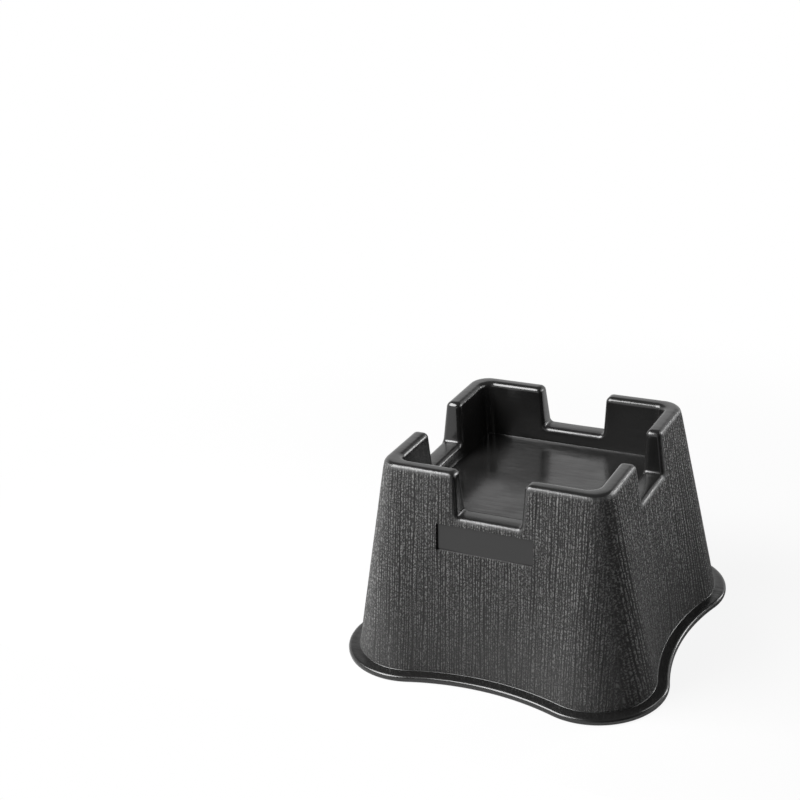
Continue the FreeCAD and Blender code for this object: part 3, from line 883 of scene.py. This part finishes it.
across = add_node(grain_group, "ShaderNodeSeparateXYZ", {0: given["Place"]}).outputs["X"]
ridges = math_node(grain_group, "DIVIDE", across, given["Pitch"])
phase = math_node(grain_group, "MULTIPLY", ridges, 2 * math.pi)
phase = math_node(grain_group, "ADD", phase, spots(*UNEVEN))
phase = math_node(grain_group, "ADD", phase, spots(*DRIFT))
ridge = ramp(grain_group, math_node(grain_group, "COSINE", phase), *RIDGE_SLOPE)
ridge = math_node(grain_group, "MAXIMUM", ridge, spots(*SHALLOW))
even = math_node(grain_group, "MULTIPLY", given["Seam"], SEAM_LEVEL)
ridge = math_node(grain_group, "MAXIMUM", ridge, even)
crest = math_node(grain_group, "MULTIPLY", spots(*SPECKS), spots(*FIBRES))
height = math_node(grain_group, "MULTIPLY", ridge, crest)
grain_group.links.new(height, result["Height"])
grain_group.links.new(height, result["Tone"])
print("%s: %d nodes" % (grain_group.name, len(grain_group.nodes)))

# %% [markdown]
# ## The smooth parts
#
# The rim, the cup and the lip are not grained. They have the skin of an injection moulding: satin,
# faintly uneven, with soft clouds of more and less gloss where the plastic cooled at different rates.
# A slow noise gives the clouds, a stretched one gives faint streaks from side to side, as the plastic
# flowed, and a fine one a barely visible ripple.

# %% The satin skin as a node group
CLOUD, RIPPLE = 60.0, 900.0
STREAKS = (60.0, 300.0, 300.0)
WAVE_SHARE, STREAK_SHARE = 8.0, 7.0
CLOUD_RANGE = (0.3, 0.7)

skin_group, given, result = new_group("moulded_skin", [
    ("Place", "Vector", None), ("Cloud", "Float", CLOUD), ("Ripple", "Float", RIPPLE),
    ("Height", "Float"), ("Gloss", "Float")])
clouds = add_node(skin_group, "ShaderNodeTexNoise", {
    "Vector": given["Place"], "Scale": given["Cloud"], "Detail": 3.0}).outputs["Fac"]
ripples = add_node(skin_group, "ShaderNodeTexNoise", {
    "Vector": given["Place"], "Scale": given["Ripple"], "Detail": 2.0}).outputs["Fac"]
drawn = add_node(skin_group, "ShaderNodeVectorMath", {0: given["Place"], 1: STREAKS}, operation="MULTIPLY")
streaks = add_node(skin_group, "ShaderNodeTexNoise", {
    "Vector": drawn.outputs["Vector"], "Scale": 1.0, "Detail": 2.0}).outputs["Fac"]
waves = math_node(skin_group, "MULTIPLY", clouds, WAVE_SHARE)
waves = math_node(skin_group, "ADD", waves, math_node(skin_group, "MULTIPLY", streaks, STREAK_SHARE))
skin_group.links.new(math_node(skin_group, "ADD", ripples, waves), result["Height"])
skin_group.links.new(ramp(skin_group, clouds, *CLOUD_RANGE), result["Gloss"])
print("%s: %d nodes" % (skin_group.name, len(skin_group.nodes)))

# %% [markdown]
# ## Black plastic
#
# One material covers the whole moulding. The value that each grid stored, how much grain a point
# carries, decides between grain and skin. The grain's crests are painted dark grey, a painted highlight
# where the real crests would catch the light, over the black of the valleys. The smooth parts are a deeper
# black that shows what stands around them. Towards the foot and in the middle of the lobes the painted
# crest highlight is weaker, and draws closer to its mean there.

# %% The material
GRAIN_DEEP = (0.016, 0.0159, 0.0157, 1.0)
# The crests' colour is a painted highlight, much lighter than the black plastic itself.
CREST_PAINTED_HIGHLIGHT = (0.295, 0.293, 0.290, 1.0)
SKIN_BLACK = (0.012, 0.0118, 0.0116, 1.0)
GRAIN_RELIEF = 0.00030
SKIN_RELIEF = 0.000012
GLOSS_LEVEL = 0.65
# Roughness in the grain's valleys and on crests of this height, and of glossy and dull skin.
GRAIN_ROUGH, CREST_HEIGHT = (1.0, 0.36), 0.8
SKIN_ROUGH = (0.15, 0.24)
# How far from the middle of a lobe the ridges start and are whole.
SEAM_WIDTH = (0.003, 0.012)
# Between these heights the painted crest highlight grows to full strength from this share on, and in a lobe
# it keeps this share.
EVENED_BELOW, EVENED_LOW, EVENED_LOBE = (0.005, 0.060), 0.5, 0.65
# The level that the painted crest highlight draws towards where it is weaker.
MEAN_CREST_HIGHLIGHT = 0.22

plastic = bpy.data.materials.new("riser_plastic")
plastic.use_nodes = True
tree = plastic.node_tree
tree.nodes.clear()
amount = add_node(tree, "ShaderNodeAttribute", attribute_name="grain").outputs["Fac"]
grain_place = add_node(tree, "ShaderNodeAttribute", attribute_name="grain_place").outputs["Vector"]
place = add_node(tree, "ShaderNodeTexCoord").outputs["Object"]
climb = add_node(tree, "ShaderNodeSeparateXYZ", {0: place}).outputs["Z"]
sides = add_node(tree, "ShaderNodeVectorMath", {0: place}, operation="ABSOLUTE").outputs["Vector"]
sides = add_node(tree, "ShaderNodeSeparateXYZ", {0: sides}).outputs
off_corner = math_node(tree, "ABSOLUTE", math_node(tree, "SUBTRACT", sides["X"], sides["Y"]))
grain = add_node(tree, "ShaderNodeGroup", node_tree=grain_group)
tree.links.new(grain_place, grain.inputs["Place"])
tree.links.new(ramp(tree, off_corner, *SEAM_WIDTH, 1.0, 0.0), grain.inputs["Seam"])
skin = add_node(tree, "ShaderNodeGroup", node_tree=skin_group)
tree.links.new(place, skin.inputs["Place"])

# Where this factor is low, the painted crest highlight is weaker: towards the foot and in the middle of the
# lobes.
clear = math_node(tree, "MULTIPLY", ramp(tree, climb, *EVENED_BELOW, EVENED_LOW, 1.0),
                  ramp(tree, off_corner, *SEAM_WIDTH, EVENED_LOBE, 1.0))
# Crests painted lighter in the colour: a painted highlight over the grain's real relief.
crest_highlight = mix_node(tree, clear, MEAN_CREST_HIGHLIGHT, grain.outputs["Tone"])
colour = mix_colour(tree, amount, SKIN_BLACK, mix_colour(tree, crest_highlight, GRAIN_DEEP, CREST_PAINTED_HIGHLIGHT))
grain_rough = ramp(tree, grain.outputs["Height"], 0.0, CREST_HEIGHT, *GRAIN_ROUGH)
skin_rough = ramp(tree, skin.outputs["Gloss"], 0.0, 1.0, *SKIN_ROUGH)
grain_high = math_node(tree, "MULTIPLY", grain.outputs["Height"], amount)
grain_bump = add_node(tree, "ShaderNodeBump", {
    "Strength": 1.0, "Distance": GRAIN_RELIEF, "Height": grain_high}).outputs["Normal"]
skin_bump = add_node(tree, "ShaderNodeBump", {
    "Strength": 1.0, "Distance": SKIN_RELIEF, "Height": skin.outputs["Height"],
    "Normal": grain_bump}).outputs["Normal"]
surface = add_node(tree, "ShaderNodeBsdfPrincipled", {
    "Base Color": colour, "Roughness": mix_node(tree, amount, skin_rough, grain_rough),
    "Specular IOR Level": GLOSS_LEVEL, "Normal": skin_bump}).outputs["BSDF"]
add_node(tree, "ShaderNodeOutputMaterial", {"Surface": surface})
riser.data.materials.append(plastic)
print("%s: %d nodes" % (plastic.name, len(tree.nodes)))

# %% [markdown]
# ## White paper all round
#
# The picture's ground is pure white, but white light from everywhere would wash out a black object.
# So the paper is white only for rays that come from the camera, or that mirror it in the plastic. For
# rays that light, it is a dark table. Near the riser a share of plain, lit paper stays in the mix, and
# that share keeps the soft shadow under the foot.

# %% The floor
PAPER_SIDE, PAPER_FRONT, PAPER_BACK = 0.40, 0.13, 2.5
FLOOR_GAP = 0.0001
PAPER = (0.82, 0.82, 0.82, 1.0)
TABLE = (0.05, 0.05, 0.05, 1.0)
PAPER_FIBRE, PAPER_ROUGH = 400.0, (0.85, 0.95)
# The share of lit paper where it is seen and where it is mirrored, and the distances over which that
# share fades to plain white.
LIT_SEEN, LIT_MIRRORED = 0.12, 1.0
SHADOW_NEAR, SHADOW_FAR = 0.15, 0.45

floor_mesh = bpy.data.meshes.new("floor")
square = [(-PAPER_SIDE, -PAPER_FRONT), (PAPER_SIDE, -PAPER_FRONT), (PAPER_SIDE, PAPER_BACK),
          (-PAPER_SIDE, PAPER_BACK)]
floor_mesh.from_pydata([(x, y, -FLOOR_GAP) for x, y in square], [], [(0, 1, 2, 3)])
floor = bpy.data.objects.new("floor", floor_mesh)
bpy.context.scene.collection.objects.link(floor)


def seen(tree):
    """1 for rays from the camera and for mirrored or transmitted ones, 0 for rays that light."""
    path = add_node(tree, "ShaderNodeLightPath").outputs
    either = math_node(tree, "MAXIMUM", path["Is Camera Ray"], path["Is Glossy Ray"])
    return math_node(tree, "MAXIMUM", either, path["Is Transmission Ray"])


paper = bpy.data.materials.new("white_paper")
paper.use_nodes = True
tree = paper.node_tree
tree.nodes.clear()
spot = add_node(tree, "ShaderNodeTexCoord").outputs["Object"]
fibre = add_node(tree, "ShaderNodeTexNoise", {"Vector": spot, "Scale": PAPER_FIBRE}).outputs["Fac"]
lit = add_node(tree, "ShaderNodeBsdfPrincipled", {
    "Base Color": mix_colour(tree, seen(tree), TABLE, PAPER),
    "Roughness": ramp(tree, fibre, 0.0, 1.0, *PAPER_ROUGH)}).outputs["BSDF"]
white = add_node(tree, "ShaderNodeEmission", {"Strength": 1.0}).outputs["Emission"]
away = add_node(tree, "ShaderNodeVectorMath", {0: spot}, operation="LENGTH").outputs["Value"]
glossy = add_node(tree, "ShaderNodeLightPath").outputs["Is Glossy Ray"]
lit_near = mix_node(tree, glossy, LIT_SEEN, LIT_MIRRORED)
lit_here = math_node(tree, "MULTIPLY", lit_near, ramp(tree, away, SHADOW_NEAR, SHADOW_FAR, 1.0, 0.0))
share = math_node(tree, "MULTIPLY", seen(tree), math_node(tree, "SUBTRACT", 1.0, lit_here))
mixed = add_node(tree, "ShaderNodeMixShader", {0: share, 1: lit, 2: white}).outputs["Shader"]
add_node(tree, "ShaderNodeOutputMaterial", {"Surface": mixed})
floor_mesh.materials.append(paper)
print("floor: %.1f by %.1f m" % (2 * PAPER_SIDE, PAPER_FRONT + PAPER_BACK))

# %% [markdown]
# ## The room
#
# The world is white where the camera sees it, and lights the riser only as a dim room. What the smooth
# plastic mirrors lies between the two: the room looks pale all round up to the height of a window, and
# dark above that and towards the right front. That is why the tops of the rim shine and the walls of
# the cup stay black.

# %% The world
ROOM_LOW, ROOM_HIGH = 0.04, 0.024
# The heights of a direction between which the room turns from its lower part to its upper one.
WINDOW_TOP = (0.42, 0.62)
MIRRORED_LOW, MIRRORED_HIGH = 1.0, 0.15
# The side that looks dark, how close to it a direction must be, and how dark it gets.
DARK_SIDE, DARK_EDGE, DARK_LEVEL = (0.8, -0.6, 0.0), (0.5, 0.9), 0.06

world = bpy.data.worlds.new("studio")
bpy.context.scene.world = world
world.use_nodes = True
tree = world.node_tree
tree.nodes.clear()
path = add_node(tree, "ShaderNodeLightPath").outputs
direction = add_node(tree, "ShaderNodeTexCoord").outputs["Generated"]
climb = add_node(tree, "ShaderNodeSeparateXYZ", {0: direction}).outputs["Z"]
room = ramp(tree, climb, *WINDOW_TOP, ROOM_LOW, ROOM_HIGH)
toward_dark = add_node(tree, "ShaderNodeVectorMath", {0: direction, 1: DARK_SIDE}, operation="DOT_PRODUCT")
pale = ramp(tree, toward_dark.outputs["Value"], *DARK_EDGE, 1.0, DARK_LEVEL)
mirrored = math_node(tree, "MULTIPLY", pale, ramp(tree, climb, *WINDOW_TOP, MIRRORED_LOW, MIRRORED_HIGH))
indirect = mix_node(tree, path["Is Glossy Ray"], room, mirrored)
direct = math_node(tree, "MAXIMUM", path["Is Camera Ray"], path["Is Transmission Ray"])
background = add_node(tree, "ShaderNodeBackground", {
    "Color": (1, 1, 1, 1), "Strength": mix_node(tree, direct, indirect, 1.0)}).outputs["Background"]
add_node(tree, "ShaderNodeOutputWorld", {"Surface": background})
print("world: %d nodes" % len(tree.nodes))

# %% [markdown]
# ## Three soft lamps
#
# Grain and rounded black edges show up by the light that grazes them. A wide softbox hangs high at the
# left front. It lights the front wall and draws the bright line along every edge that faces the camera.
# A small one stands close to the right of the rim, so its light falls off down the right wall. A tall
# narrow one stands low behind on the right, and catches the edges that run away from the camera.

# %% The lamps
def softbox(name, direction, distance, width, height, power):
    """An area lamp that stands off in a direction and shines at the riser's middle."""
    data = bpy.data.lights.new(name, "AREA")
    data.shape = "RECTANGLE"
    data.size, data.size_y, data.energy = width, height, power
    lamp = bpy.data.objects.new(name, data)
    away = Vector(direction).normalized()
    lamp.location = Vector((0, 0, HEIGHT * MM / 2)) + away * distance
    lamp.rotation_mode = "QUATERNION"
    lamp.rotation_quaternion = away.to_track_quat("Z", "Y")
    lamp.visible_camera = False
    bpy.context.scene.collection.objects.link(lamp)
    print("%s: %.2f W, %.2f m away" % (name, power, distance))


softbox("high_left", (-0.53, -0.40, 0.75), 0.7, 0.50, 0.40, 8.0)
softbox("near_right", (0.66, 0.40, 0.64), 0.25, 0.12, 0.10, 0.12)
softbox("behind_right", (0.58, 0.75, 0.28), 0.8, 0.12, 0.30, 1.2)

bpy.context.scene.view_settings.view_transform = "Standard"
